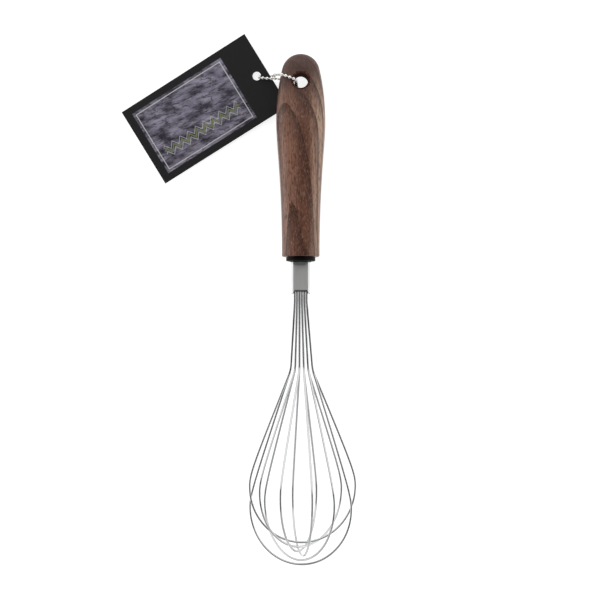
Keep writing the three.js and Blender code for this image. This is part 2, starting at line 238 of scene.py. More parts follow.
def cut(mesh: Mesh, cutter: Mesh) -> Mesh:
    """Cut one closed mesh out of another.

    Args:
        mesh: What is cut.
        cutter: The space that is taken away. It is removed.

    Returns:
        The mesh that is left.
    """
    body = bpy.data.objects.new("body", mesh)
    tool = bpy.data.objects.new("tool", cutter)
    for made in (body, tool):
        bpy.context.scene.collection.objects.link(made)
    difference = body.modifiers.new("difference", "BOOLEAN")
    difference.object = tool
    difference.operation = "DIFFERENCE"
    difference.solver = "EXACT"
    left = baked(body)
    for made in (body, tool):
        bpy.data.objects.remove(made)
    bpy.data.meshes.remove(cutter)
    shade(left)
    return left


def settle(piece: Object, body: Body, slot: Slot, *nodes: str) -> None:
    """Let a piece ride on its body and stand for its solids.

    Args:
        piece: The finished piece.
        body: The body that it moves with.
        slot: The record's slot for its finish. It is not used.
        nodes: The solids that it stands for.
    """
    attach(piece, body.value)
    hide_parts(*nodes)
    LOG.info("%s: %d faces, rides on %s", piece.name, len(piece.data.polygons), body.value)


# Material helpers


def linear(colour: str) -> tuple[float, float, float, float]:
    """Turn an sRGB hex colour to linear RGBA.

    Args:
        colour: The colour as #rrggbb.

    Returns:
        The linear colour, with alpha 1.
    """
    shares = [int(colour[i : i + 2], 16) / 255 for i in (1, 3, 5)]
    values = [s / 12.92 if s <= 0.04045 else ((s + 0.055) / 1.055) ** 2.4 for s in shares]
    return (*values, 1.0)


def add(
    tree: NodeTree,
    kind: str,
    inputs: dict[int | str, object] | None = None,
    out: int | str = 0,
    **settings: object,
) -> NodeSocket | None:
    """Add a node with its settings, values and links.

    Args:
        tree: The tree that it joins.
        kind: The node's type, without the ShaderNode that it begins with.
        inputs: Socket name or number to a value, or to the output socket that feeds it.
        out: Name or number of the output that is given back.
        settings: The node's own properties.

    Returns:
        The chosen output socket, or nothing for a node that has none.
    """
    made = tree.nodes.new(f"ShaderNode{kind}")
    for name, value in settings.items():
        setattr(made, name, value)
    for socket, value in (inputs or {}).items():
        if isinstance(value, NodeSocket):
            tree.links.new(value, made.inputs[socket])
        else:
            made.inputs[socket].default_value = value
    return made.outputs[out] if made.outputs else None


def surface(name: str) -> tuple[Material, NodeTree]:
    """Start a material with an empty tree.

    Args:
        name: Its name.

    Returns:
        The material and its tree.
    """
    material = bpy.data.materials.new(name)
    material.use_nodes = True
    material.node_tree.nodes.clear()
    return material, material.node_tree


def millimetres(tree: NodeTree, place: Place) -> NodeSocket:
    """Give a piece's own coordinates in millimetres.

    Args:
        tree: The tree of the material.
        place: Where the piece's own axes lie.

    Returns:
        The socket with the coordinates.
    """
    return add(
        tree,
        "Mapping",
        {
            "Vector": add(tree, "TexCoord", out="Object"),
            "Location": place.matrix.to_translation(),
            "Rotation": place.matrix.to_euler(),
            "Scale": (MM, MM, MM),
        },
        vector_type="TEXTURE",
    )


# Finishes

# A range node has its value at input 0, its range at 1 and 2, and what that becomes at 3 and 4.
# A mix node that mixes colours has its share at input 0, the colours at 6 and 7, and the mix at output 2
COLOUR_MIX: dict[str, int | str] = {"out": 2, "data_type": "RGBA"}
# Nearly all of a noise lies between its low and its high value
NOISE_LOW = 0.3
NOISE_MIDDLE = 0.5
NOISE_HIGH = 0.7
# Length of a wave of the wave texture at a scale of 1
WAVE_LENGTH = math.tau / 20


@dataclass(frozen=True)
class Onset:
    """How a pattern comes in: where it starts to show, where it is full, and how strong it is then."""

    start: float
    full: float
    strength: float = 1.0


@dataclass(frozen=True)
class Finish(ABC):
    """A finish, whose patterns lie on a piece's own coordinates."""

    name: str

    @abstractmethod
    def inputs(self, tree: NodeTree, own: NodeSocket) -> dict[str, object]:
        """Draw the patterns of the finish.

        Args:
            tree: The tree of the material.
            own: The piece's own coordinates in millimetres.

        Returns:
            The names of the shader's inputs, with their values or the outputs that feed them.
        """

    def material(self, place: Place) -> Material:
        """Make the material.

        Args:
            place: The piece's own axes.

        Returns:
            The material.
        """
        material, tree = surface(self.name)
        shader = add(tree, "BsdfPrincipled", self.inputs(tree, millimetres(tree, place)))
        add(tree, "OutputMaterial", {0: shader})
        return material


@dataclass(frozen=True)
class Walnut(Finish):
    """Black walnut, sanded and oiled: brown with a dark heart, growth lines, pale flecks and open pores, with
    painted sheen on its paler edges and painted shade at its free end.
    """

    name: str = "oiled_walnut"
    smooth: float = 0.3
    rough: float = 0.42
    gloss: float = 0.5
    ior: float = 1.45
    # Colour zones across the board, as millimetres from the middle and a colour. The darker middle is the
    # wood's figure; the paler edges, palest at the right, are partly its figure and partly painted sheen
    tone_and_painted_light_zones: tuple[tuple[float, str], ...] = (
        (-13.0, "#9a7462"),
        (-6.5, "#966a56"),
        (0.0, "#6d4533"),
        (4.0, "#6e4734"),
        (6.5, "#a27c66"),
        (13.0, "#cba98f"),
    )
    late_wood: str = "#432519"
    fleck: str = "#a98b7d"
    pore: str = "#38211a"
    # Colour of the painted shade at the free end
    painted_end_shade: str = "#3a170b"
    pith_mm: Triple = (5.6, 0.0, -24.0)
    pith_slant: float = 0.042
    grain_stretch: float = 18.0
    ring_mm: float = 2.4
    ring_phase: float = -3.14
    ring_wobble: float = 1.1
    ring_wobble_scale: float = 0.8
    figure_mm: float = 6.0
    wander_mm: float = 5.0
    fibre_mm: float = 0.6
    # Flecks and pores are finer in the wood, and are drawn coarse enough to show
    fleck_mm: Triple = (0.6, 1.5, 0.6)
    pore_mm: Triple = (0.5, 3.0, 0.5)
    pore_depth_mm: float = 0.08
    relief: float = 0.15
    late_onset: Onset = Onset(0.6, 0.0, 0.95)
    fleck_onset: Onset = Onset(0.49, 0.72, 0.45)
    streak_onset: Onset = Onset(0.46, 0.72, 0.68)
    pore_onset: Onset = Onset(0.555, 0.69, 0.78)
    # Painted shade darkens the free end. Its onset is in millimetres from the mouth of the ferrule
    painted_end_shade_onset: Onset = Onset(96.0, 122.0, 0.78)

    def inputs(self, tree: NodeTree, own: NodeSocket) -> dict[str, object]:
        """Draw the wood.

        Args:
            tree: The tree of the material.
            own: The whisk's own coordinates, with the grain along Y.

        Returns:
            The shader's inputs.
        """
        axes = add(tree, "SeparateXYZ", {0: own}).node.outputs
        # Measured from a slanting pith, and drawn out along the grain
        grain = add(
            tree,
            "Mapping",
            {
                "Vector": own,
                "Location": self.pith_mm,
                "Rotation": (self.pith_slant, 0.0, 0.0),
                "Scale": (1.0, self.grain_stretch, 1.0),
            },
            vector_type="TEXTURE",
        )
        fleck_at, pore_at = (
            add(tree, "Mapping", {"Vector": own, "Scale": size}, vector_type="TEXTURE")
            for size in (self.fleck_mm, self.pore_mm)
        )
        figure, fibre, flecks, pores = (
            add(tree, "TexNoise", {"Vector": at, "Scale": 1 / size, "Detail": detail})
            for at, size, detail in (
                (grain, self.figure_mm, 2.0),
                (grain, self.fibre_mm, 3.0),
                (fleck_at, 1.0, 2.0),
                (pore_at, 1.0, 1.0),
            )
        )
        # The dark heart, whose edges wander with the figure, between paler edges that are partly painted
        # sheen
        reach, half_wander = self.tone_and_painted_light_zones[-1][0], self.wander_mm / 2
        across = add(tree, "Math", {0: figure, 1: self.wander_mm, 2: axes[0]}, operation="MULTIPLY_ADD")
        share = add(tree, "MapRange", {0: across, 1: half_wander - reach, 2: half_wander + reach})
        colour = add(tree, "ValToRGB", {0: share})
        stops = colour.node.color_ramp.elements
        stops.remove(stops[0])
        stops[0].position, stops[0].color = 0.0, linear(self.tone_and_painted_light_zones[0][1])
        for from_middle, zone in self.tone_and_painted_light_zones[1:]:
            stops.new((from_middle + reach) / (2 * reach)).color = linear(zone)
        # Growth rings round the pith cut the front in pointed arches
        ring = add(
            tree,
            "TexWave",
            {
                "Vector": grain,
                "Scale": WAVE_LENGTH / self.ring_mm,
                "Distortion": self.ring_wobble,
                "Detail Scale": self.ring_wobble_scale,
                "Phase Offset": self.ring_phase,
            },
            out=1,
            wave_type="RINGS",
            rings_direction="Y",
            wave_profile="SAW",
        )
        layers = {
            "late wood": (ring, self.late_onset, self.late_wood),
            "flecks": (flecks, self.fleck_onset, self.fleck),
            "streaks": (fibre, self.streak_onset, self.late_wood),
            # Painted shade towards the free end
            "painted end shade": (axes[1], self.painted_end_shade_onset, self.painted_end_shade),
            "pores": (pores, self.pore_onset, self.pore),
        }
        shown = {}
        for layer, (pattern, onset, tone) in layers.items():
            extent = {0: pattern, 1: onset.start, 2: onset.full, 4: onset.strength}
            shown[layer] = add(tree, "MapRange", extent)
            colour = add(tree, "Mix", {0: shown[layer], 6: colour, 7: linear(tone)}, **COLOUR_MIX)
        sheen = {0: fibre, 1: NOISE_LOW, 2: NOISE_HIGH, 3: self.smooth, 4: self.rough}
        depth = add(tree, "Math", {0: shown["streaks"], 1: shown["pores"]}, operation="ADD")
        hollow = -self.pore_depth_mm * MM
        return {
            "Base Color": colour,
            "IOR": self.ior,
            "Specular IOR Level": self.gloss,
            "Roughness": add(tree, "MapRange", sheen),
            "Normal": add(tree, "Bump", {"Strength": self.relief, "Distance": hollow, "Height": depth}),
        }


# The wall of the hang hole: cut across the grain, so it is rough, dull and soaks up more oil. Its darker
# brown is partly that end grain and partly painted shade inside the hole
DRILLED_SHADED_WALNUT = Walnut(
    name="drilled_shaded_walnut", smooth=0.8, rough=0.95, gloss=0.1, tone_and_painted_light_zones=((-13.0, "#4f352a"), (13.0, "#452c22"))
)


@dataclass(frozen=True)
class MouldedPlastic(Finish):
    """Black moulded plastic: nearly black, with a fine eroded grain that softens its gloss."""

    name: str = "moulded_black_plastic"
    dark: str = "#050505"
    light: str = "#0d0c0c"
    gloss: float = 0.08
    smooth: float = 0.4
    rough: float = 0.55
    grain_mm: float = 0.5
    grain_depth_mm: float = 0.03
    relief: float = 0.2

    def inputs(self, tree: NodeTree, own: NodeSocket) -> dict[str, object]:
        """Draw the grain.

        Args:
            tree: The tree of the material.
            own: The whisk's own coordinates.

        Returns:
            The shader's inputs.
        """
        grain = add(tree, "TexNoise", {"Vector": own, "Scale": 1 / self.grain_mm, "Detail": 3.0})
        tones = {0: grain, 6: linear(self.dark), 7: linear(self.light)}
        depth = self.grain_depth_mm * MM
        return {
            "Base Color": add(tree, "Mix", tones, **COLOUR_MIX),
            "Specular IOR Level": self.gloss,
            "Roughness": add(tree, "MapRange", {0: grain, 3: self.smooth, 4: self.rough}),
            "Normal": add(tree, "Bump", {"Strength": self.relief, "Distance": depth, "Height": grain}),
        }


@dataclass(frozen=True)
class PaintedLipShade:
    """Painted shade along the end of a tube: a dark line at its mouth."""

    width_mm: float = 0.6
    dark_share: float = 0.6
    flat_half_mm: float = 3.4
    side_drop_mm: float = 1.8
    strength: float = 0.85
    # Colour of the painted shade
    dark: str = "#2e2e2e"

    def paint_lip_shade(self, tree: NodeTree, own: NodeSocket, colour: NodeSocket) -> NodeSocket:
        """Paint shade along a tube's end, which is lower at the sides than on the flats.

        Args:
            tree: The tree of the material.
            own: The tube's own coordinates, with its end at the start of the Y axis.
            colour: The colour of the tube.

        Returns:
            The colour with its painted shade along the end.
        """
        axes = add(tree, "SeparateXYZ", {0: own}).node.outputs
        off_middle = add(tree, "Math", {0: axes[0]}, operation="ABSOLUTE")
        past_flat = {0: off_middle, 1: self.flat_half_mm}
        aside = add(tree, "Math", past_flat, operation="SUBTRACT", use_clamp=True)
        over_end = add(tree, "Math", {0: aside, 1: self.side_drop_mm, 2: axes[1]}, operation="MULTIPLY_ADD")
        full = self.dark_share * self.width_mm
        share = add(tree, "MapRange", {0: over_end, 1: self.width_mm, 2: full, 4: self.strength})
        return add(tree, "Mix", {0: share, 6: colour, 7: linear(self.dark)}, **COLOUR_MIX)


@dataclass(frozen=True)
class Metal(Finish):
    """A drawn, rolled or plated metal: a grey that mirrors the room, with fine lines along the draw."""

    dark: str
    light: str
    smooth: float
    rough: float
    line_mm: float
    stretch: float
    line_depth_mm: float
    relief: float = 0.3
    lip_shade: PaintedLipShade | None = None

    def inputs(self, tree: NodeTree, own: NodeSocket) -> dict[str, object]:
        """Draw the lines.

        Args:
            tree: The tree of the material.
            own: The piece's own coordinates, with the lines along Y.

        Returns:
            The shader's inputs.
        """
        size = (self.line_mm, self.line_mm * self.stretch, self.line_mm)
        drawn = add(tree, "Mapping", {"Vector": own, "Scale": size}, vector_type="TEXTURE")
        lines = add(tree, "TexNoise", {"Vector": drawn, "Scale": 1.0, "Detail": 3.0})
        colour = add(tree, "Mix", {0: lines, 6: linear(self.dark), 7: linear(self.light)}, **COLOUR_MIX)
        # Painted shade along the tube's end
        if self.lip_shade:
            colour = self.lip_shade.paint_lip_shade(tree, own, colour)
        depth = self.line_depth_mm * MM
        return {
            "Metallic": 1.0,
            "Base Color": colour,
            "Roughness": add(tree, "MapRange", {0: lines, 3: self.smooth, 4: self.rough}),
            "Normal": add(tree, "Bump", {"Strength": self.relief, "Distance": depth, "Height": lines}),
        }


# Rolled stainless tube, brushed along its length, which blurs the room to a soft grey
SATIN_TUBE = Metal(
    name="satin_stainless_tube",
    dark="#d8d8d7",
    light="#e6e6e5",
    smooth=0.42,
    rough=0.5,
    line_mm=0.35,
    stretch=26.0,
    line_depth_mm=0.006,
    # A dark line of painted shade along the mouth of the tube
    lip_shade=PaintedLipShade(),
)
# Drawn and polished stainless wire, which mirrors bright sides round a dark core
POLISHED_WIRE = Metal(
    name="polished_stainless_wire",
    dark="#b4b5b6",
    light="#c4c5c6",
    smooth=0.04,
    rough=0.1,
    line_mm=0.4,
    stretch=18.0,
    line_depth_mm=0.002,
)
# Nickel plate on stamped beads, bright and a little soft
BRIGHT_NICKEL = Metal(
    name="bright_nickel_plate",
    dark="#e6e5e2",
    light="#f4f3f0",
    smooth=0.2,
    rough=0.3,
    line_mm=1.2,
    stretch=1.0,
    line_depth_mm=0.002,
)


@dataclass(frozen=True)
class PrintedCard(Finish):
    """Matt laminated card: charcoal ink with a slate panel, a pale frame line and a band of zigzags."""

    name: str = "printed_card"
    charcoal: str = "#232224"
    soot: str = "#19181a"
    slate_dark: str = "#322d3c"
    slate_light: str = "#aea8bb"
    crevice: str = "#141118"
    sage: str = "#7d8757"
    chalk: str = "#d4d3d5"
    core: str = "#8f8d8c"
    smooth: float = 0.36
    rough: float = 0.5
    thickness_mm: float = 0.6
    ink_share: float = 0.1
    core_share: float = 0.7
    tooth_mm: float = 0.4
    tooth_depth_mm: float = 0.02
    relief: float = 0.15
    panel_centre_mm: Triple = (-41.5, 0.0, 0.0)
    panel_half_mm: Triple = (29.5, 19.5, 0.0)
    frame_inset_mm: float = 1.7
    frame_line_mm: float = 0.25
    bedding_turn: float = math.radians(-12)
    mottle_mm: Triple = (13.0, 5.0, 5.0)
    mottle_onset: Onset = Onset(0.38, 0.65)
    crevice_mm: Triple = (16.0, 3.5, 3.5)
    crevice_onset: Onset = Onset(0.035, 0.0, 0.8)
    band_inset_mm: float = 5.1
    zigzag_at_mm: float = -10.5
    zigzag_pitch_mm: float = 5.2
    zigzag_rise_mm: float = 3.4
    # Distance of the outer zigzags from the middle one, and half the width of each
    zigzag_gap_mm: float = 1.9
    outer_half_mm: float = 0.2
    middle_half_mm: float = 0.6

    def lines(self, tree: NodeTree, offset: NodeSocket, edge: NodeSocket) -> list[tuple[NodeSocket, str]]:
        """Draw the frame line and the band of zigzags, folded evenly from the middle of the panel.

        Args:
            tree: The tree of the material.
            offset: Place of a point from the middle of the panel.
            edge: How far it is outside the panel.

        Returns:
            The share and the ink of each line.
        """
        frame_line = {0: edge, 1: -self.frame_inset_mm, 2: self.frame_line_mm}
        drawn = [(add(tree, "Math", frame_line, operation="COMPARE"), self.chalk)]
        in_frame = add(tree, "Math", {0: edge, 1: -self.band_inset_mm}, operation="LESS_THAN")
        half_pitch = self.zigzag_pitch_mm / 2
        slope = -self.zigzag_rise_mm / half_pitch
        from_centre = add(tree, "SeparateXYZ", {0: offset}).node.outputs
        fold = add(tree, "Math", {0: from_centre[0], 1: half_pitch}, operation="PINGPONG")
        unfolded = add(tree, "Math", {0: fold, 1: slope, 2: from_centre[1]}, operation="MULTIPLY_ADD")
        for from_middle, half_width, ink in (
            (-self.zigzag_gap_mm, self.outer_half_mm, self.chalk),
            (0.0, self.middle_half_mm, self.sage),
            (self.zigzag_gap_mm, self.outer_half_mm, self.chalk),
        ):
            at = self.zigzag_at_mm + from_middle
            band = add(tree, "Math", {0: unfolded, 1: at, 2: half_width}, operation="COMPARE")
            drawn.append((add(tree, "Math", {0: band, 1: in_frame}, operation="MULTIPLY"), ink))
        return drawn

    def slate(self, tree: NodeTree, own: NodeSocket) -> NodeSocket:
        """Draw slate that is mottled along its bedding, with thin dark crevices.

        Args:
            tree: The tree of the material.
            own: The tag's own coordinates.

        Returns:
            The colour of the slate.
        """
        turn = (0.0, 0.0, self.bedding_turn)
        noises = []
        for size, detail, roughness in ((self.mottle_mm, 9.0, 0.7), (self.crevice_mm, 4.0, 0.6)):
            bedded = {"Vector": own, "Rotation": turn, "Scale": size}
            at = add(tree, "Mapping", bedded, vector_type="TEXTURE")
            noise = {"Vector": at, "Scale": 1.0, "Detail": detail, "Roughness": roughness}
            noises.append(add(tree, "TexNoise", noise))
        cloud, ridge = noises
        from_crevice = add(tree, "Math", {0: ridge, 1: NOISE_MIDDLE}, operation="SUBTRACT")
        off_crevice = add(tree, "Math", {0: from_crevice}, operation="ABSOLUTE")
        mottle, crevice = (
            add(tree, "MapRange", {0: pattern, 1: onset.start, 2: onset.full, 4: onset.strength})
            for pattern, onset in ((cloud, self.mottle_onset), (off_crevice, self.crevice_onset))
        )
        tones = {0: mottle, 6: linear(self.slate_dark), 7: linear(self.slate_light)}
        stone = add(tree, "Mix", tones, **COLOUR_MIX)
        return add(tree, "Mix", {0: crevice, 6: stone, 7: linear(self.crevice)}, **COLOUR_MIX)

    def inputs(self, tree: NodeTree, own: NodeSocket) -> dict[str, object]:
        """Draw the print on the face alone, and the grey core on the cut edge.

        Args:
            tree: The tree of the material.
            own: The tag's own coordinates, with its hole at the origin and its face at +Z.

        Returns:
            The shader's inputs.
        """
        height = add(tree, "SeparateXYZ", {0: own}, out="Z")
        # How far a point is outside the panel, below zero inside it
        offset = add(tree, "VectorMath", {0: own, 1: self.panel_centre_mm}, operation="SUBTRACT")
        spread = add(tree, "VectorMath", {0: offset}, operation="ABSOLUTE")
        over = add(tree, "VectorMath", {0: spread, 1: self.panel_half_mm}, operation="SUBTRACT")
        sides = add(tree, "SeparateXYZ", {0: over}).node.outputs
        edge = add(tree, "Math", {0: sides[0], 1: sides[1]}, operation="MAXIMUM")
        on_panel = add(tree, "Math", {0: edge, 1: 0.0}, operation="LESS_THAN")
        tooth = add(tree, "TexNoise", {"Vector": own, "Scale": 1 / self.tooth_mm, "Detail": 2.0})
        ground = add(tree, "Mix", {0: tooth, 6: linear(self.soot), 7: linear(self.charcoal)}, **COLOUR_MIX)
        inked = add(tree, "Mix", {0: on_panel, 6: ground, 7: self.slate(tree, own)}, **COLOUR_MIX)
        for share, ink in self.lines(tree, offset, edge):
            inked = add(tree, "Mix", {0: share, 6: inked, 7: linear(ink)}, **COLOUR_MIX)
        under_ink = (1 - self.ink_share) * self.thickness_mm
        on_face = add(tree, "Math", {0: height, 1: under_ink}, operation="GREATER_THAN")
        faced = add(tree, "Mix", {0: on_face, 6: ground, 7: inked}, **COLOUR_MIX)
        half = self.thickness_mm / 2
        in_core = add(tree, "Math", {0: height, 1: half, 2: self.core_share * half}, operation="COMPARE")
        depth = self.tooth_depth_mm * MM
        return {
            "Base Color": add(tree, "Mix", {0: in_core, 6: faced, 7: linear(self.core)}, **COLOUR_MIX),
            "Roughness": add(tree, "MapRange", {0: tooth, 3: self.smooth, 4: self.rough}),
            "Normal": add(tree, "Bump", {"Strength": self.relief, "Distance": depth, "Height": tooth}),
        }


# The whisk


@dataclass(frozen=True)
class LegPack:
    """How the legs of the wire loops are packed: two rows with a leg of every loop in each."""

    loops: int = 6
    wire_radius: float = 0.000625
    wire_gap: float = 0.0001
    seat_gap: float = 0.0003

    @property
    def row_end(self) -> float:
        """From the middle to the outermost leg of a row."""
        return (self.loops - 1) / 2 * (2 * self.wire_radius + self.wire_gap)

    @property
    def row_offset(self) -> float:
        """From the middle to a row."""
        return self.wire_radius + self.wire_gap / 2

    def across(self, loop: int) -> float:
        """Where a loop stands in its row, from 1 at one end to -1 at the other."""
        return 1 - 2 * loop / (self.loops - 1)


@dataclass
class Ferrule:
    """The flattened steel tube that holds the wires."""

    place: Place
    pack: LegPack
    wall: float = 0.00045
    side_round: float = 0.00056
    lip: float = 0.00012
    exposed: float = 0.0164
    top: float = 0.0408
    side_drop: float = 0.0018
    drop_reach: float = 0.004
    steps: int = 64
    rows: int = 6

    @property
    def spread(self) -> tuple[float, float]:
        """The centre of the tube's corners, which are rounder than the legs need."""
        return (self.pack.row_end, self.pack.row_offset - self.side_round)

    @property
    def bore_margin(self) -> float:
        """Radius of the bore's corners."""
        return self.pack.wire_radius + self.pack.wire_gap + self.side_round

    @property
    def margin(self) -> float:
        """Radius of the corners of the outside."""
        return self.bore_margin + self.wall

    def build(self) -> Mesh:
        """Loft the tube, with a rounded lip and side walls that reach a little lower than the flats.

        Returns:
            The mesh.
        """
        spread = self.spread
        heights = [self.lip + (self.drop_reach - self.lip) * row / self.rows for row in range(self.rows + 1)]
        outer = [(self.margin, spread, along) for along in [*heights, self.top]]
        inner = [(self.bore_margin, spread, along) for along in [self.top, *reversed(heights)]]
        rim = [(self.bore_margin + self.lip, spread, 0.0), (self.margin - self.lip, spread, 0.0)]
        bm = lofted(outer + inner + rim, self.steps)
        for vert in bm.verts:
            aside = min(max((abs(vert.co.x) - self.pack.row_end) / self.margin, 0.0), 1.0)
            near = min(max(1 - vert.co.y / self.drop_reach, 0.0), 1.0)
            vert.co.y -= self.side_drop * math.sqrt(aside) * near
        return to_mesh(bm, self.place.matrix)

    def dress(self) -> None:
        """Finish the tube in satin steel."""
        piece = linked("ferrule_tube", self.build(), SATIN_TUBE.material(self.place))
        settle(piece, Body.WHISK, Slot.SATIN_STEEL, "ferrule")


@dataclass
class Collar:
    """The black cap between the wood and the ferrule, with a flange and a spigot."""

    ferrule: Ferrule
    flange_rim: float = 0.00145
    flange_height: float = 0.0021
    spigot_wall: float = 0.0012
    spigot_length: float = 0.014
    edge: float = 0.0004
    lip_height: float = 0.0005
    lip_wall: float = 0.0004
    edge_steps: int = 3
    steps: int = 64

    @property
    def slot_margin(self) -> float:
        """Radius of the corners of the slot for the ferrule."""
        return self.ferrule.margin + self.ferrule.pack.seat_gap

    @property
    def spigot_radius(self) -> float:
        """Radius of the spigot in the bore of the handle."""
        return self.ferrule.pack.row_end + self.slot_margin + self.spigot_wall

    @property
    def seat(self) -> float:
        """Where the flange meets the wood, from the mouth of the ferrule."""
        return self.ferrule.exposed + self.flange_height

    def build(self) -> Mesh:
        """Loft the cap from its slot over a low lip and the flange to the spigot, with a rounded edge.

        Returns:
            The mesh.
        """
        spread = self.ferrule.spread
        lip = self.slot_margin + self.lip_wall
        face = self.ferrule.exposed
        flange = self.spigot_radius + self.flange_rim
        end = self.seat + self.spigot_length
        rounding = [
            (flange - self.edge * (1 - math.sin(angle)), (0.0, 0.0), face + self.edge * (1 - math.cos(angle)))
            for angle in quarter_turn(self.edge_steps)
        ]
        rings = [
            (self.slot_margin, spread, end),
            (self.slot_margin, spread, face - self.lip_height),
            (lip - self.lip_wall / 2, spread, face - self.lip_height),
            (lip, spread, face - self.lip_height / 2),
            (lip, spread, face),
            *rounding,
            (flange, (0.0, 0.0), self.seat),
            (self.spigot_radius, (0.0, 0.0), self.seat),
            (self.spigot_radius, (0.0, 0.0), end),
        ]
        return to_mesh(lofted(rings, self.steps), self.ferrule.place.matrix)

    def dress(self) -> None:
        """Finish the cap in black plastic."""
        piece = linked("collar_cap", self.build(), MouldedPlastic().material(self.ferrule.place))
        settle(piece, Body.WHISK, Slot.BLACK_PLASTIC, "collar")


@dataclass
class Handle:
    """The walnut handle: a long rounded grip, flatter towards its free end, with a hang hole."""

    place: Place
    collar: Collar
    length: float = 0.1124
    width: float = 0.0271
    widest: float = 0.0387
    end_radius: float = 0.0105
    end_turn: float = math.radians(13.8)
    base_width: float = 0.0207
    base_edge: float = 0.0008
    swell_ease: float = 1 / 3
    taper_start: float = 1 / 6
    taper_end: float = 4 / 9
    end_flatness: float = 0.58
    base_flatness: float = 0.91
    squareness: float = 2.3
    hole_radius: float = 0.004
    hole_inset: float = 0.0157
    hole_rounding: float = 0.0012
    drilled_share: float = 0.95
    steps: int = 128
    end_steps: int = 20
    swell_steps: int = 24
    taper_steps: int = 48
    edge_steps: int = 4
    hole_steps: int = 64
    rim_steps: int = 8

    @property
    def base(self) -> float:
        """Where the wood begins, from the mouth of the ferrule."""
        return self.collar.seat + self.collar.ferrule.pack.seat_gap

    @property
    def end(self) -> float:
        """The free end of the wood, from the mouth of the ferrule."""
        return self.base + self.length

    @property
    def bore_radius(self) -> float:
        """Radius of the bore for the spigot."""
        return self.collar.spigot_radius + self.collar.ferrule.pack.seat_gap

    @property
    def bore_end(self) -> float:
        """The blind end of the bore, from the mouth of the ferrule."""
        return self.collar.ferrule.top + self.collar.ferrule.pack.seat_gap

    def flatness(self, from_end: float) -> float:
        """Give the depth of the section as a share of its width.

        Args:
            from_end: Distance from the free end.

        Returns:
            The share.
        """
        share = min(max(from_end / self.length, 0.0), 1.0)
        eased = share * share * (3 - 2 * share)
        return self.end_flatness + (self.base_flatness - self.end_flatness) * eased

    def outline(self) -> list[tuple[float, float]]:
        """Draw half the front outline, from the free end to the edge of the base.

        Returns:
            Points as (half width, distance from the free end).
        """
        start, stop = -math.pi / 2, -self.end_turn
        angles = [start + (stop - start) * step / self.end_steps for step in range(self.end_steps + 1)]
        points = [
            (self.end_radius * math.cos(angle), self.end_radius * (1 + math.sin(angle))) for angle in angles
        ]
        # The last point of the round end is where the swell begins
        side = Vector((*points.pop(), 0))
        half, base = self.width / 2, self.base_width / 2
        rise = self.widest - side.y
        run = self.length - self.base_edge - self.widest
        lean = Vector((math.tan(self.end_turn), 1, 0)) * rise * self.swell_ease
        swell = interpolate_bezier(
            side,
            side + lean,
            (half, self.widest - rise * self.swell_ease, 0),
            (half, self.widest, 0),
            self.swell_steps,
        )
        taper = interpolate_bezier(
            (half, self.widest, 0),
            (half, self.widest + run * self.taper_start, 0),
            (base, self.widest + run * self.taper_end, 0),
            (base, self.length - self.base_edge, 0),
            self.taper_steps,
        )
        points += [(point.x, point.y) for point in [*swell, *taper[1:]]]
        for angle in quarter_turn(self.edge_steps)[1:]:
            inward = self.base_edge * (1 - math.cos(angle))
            points.append((base - inward, self.length - self.base_edge + self.base_edge * math.sin(angle)))
        return points

    def squared(self, share: float) -> float:
        """Push a cosine or sine outwards, for a section a little squarer than an ellipse."""
        return math.copysign(abs(share) ** (2 / self.squareness), share)

    def body(self) -> Mesh:
        """Turn the outline with the bore, and flatten it to the grip's section.

        Returns:
            The mesh, without its hang hole.
        """
        outer = [(radius, self.end - from_end) for radius, from_end in self.outline()]
        bore = [(self.bore_radius, self.base), (self.bore_radius, self.bore_end), (0.0, self.bore_end)]
        bm = turned([*outer, *bore], self.steps)
        bore_top = self.bore_end + MERGE_DISTANCE
        bore_side = self.bore_radius + MERGE_DISTANCE
        for vert in bm.verts:
            radius = math.hypot(vert.co.x, vert.co.z)
            in_bore = vert.co.y <= bore_top and radius <= bore_side
            if radius > 0 and not in_bore:
                depth = self.flatness(self.end - vert.co.y)
                vert.co.x = radius * self.squared(vert.co.x / radius)
                vert.co.z = radius * depth * self.squared(vert.co.z / radius)
        return to_mesh(bm, self.place.matrix)

    def hole_half_depth(self) -> float:
        """Measure half the depth of the wood at the hang hole.

        Returns:
            The distance from the axis to the front.
        """
        points = self.outline()
        after = next(i for i, point in enumerate(points) if point[1] > self.hole_inset)
        low, high = points[after - 1], points[after]
        share = (self.hole_inset - low[1]) / (high[1] - low[1])
        return (low[0] + (high[0] - low[0]) * share) * self.flatness(self.hole_inset)

    def hang_hole(self) -> Mesh:
        """Turn the space of the hang hole, with both rims rounded over.

        Returns:
            The mesh of the space.
        """
        half_depth = self.hole_half_depth()
        wide = self.hole_radius + self.hole_rounding
        straight = half_depth - self.hole_rounding
        past = half_depth + wide
        rim = [
            (wide - self.hole_rounding * math.cos(angle), straight + self.hole_rounding * math.sin(angle))
            for angle in quarter_turn(self.rim_steps)
        ]
        upper = [*rim, (wide, past), (0.0, past)]
        lower = [(radius, -along) for radius, along in reversed(upper)]
        bm = turned([*lower, *upper], self.hole_steps)
        stand = Matrix.Translation((0, self.end - self.hole_inset, 0)) @ Matrix.Rotation(math.pi / 2, 4, "X")
        return to_mesh(bm, self.place.matrix @ stand)

    def build(self) -> Mesh:
        """Cut the hang hole through the body, and mark its wall as drilled.

        Returns:
            The mesh.
        """
        mesh = cut(self.body(), self.hang_hole())
        to_own = self.place.matrix.inverted()
        wall = self.hole_radius + self.drilled_share * self.hole_rounding
        for face in mesh.polygons:
            at = to_own @ face.center
            face.material_index = int(math.hypot(at.x, at.y - self.end + self.hole_inset) < wall)
        return mesh

    def dress(self) -> None:
        """Finish the handle in oiled walnut, and its hole as drilled."""
        finishes = [wood.material(self.place) for wood in (Walnut(), DRILLED_SHADED_WALNUT)]
        piece = linked("handle_grip", self.build(), *finishes)
        settle(piece, Body.WHISK, Slot.WALNUT, "handle")


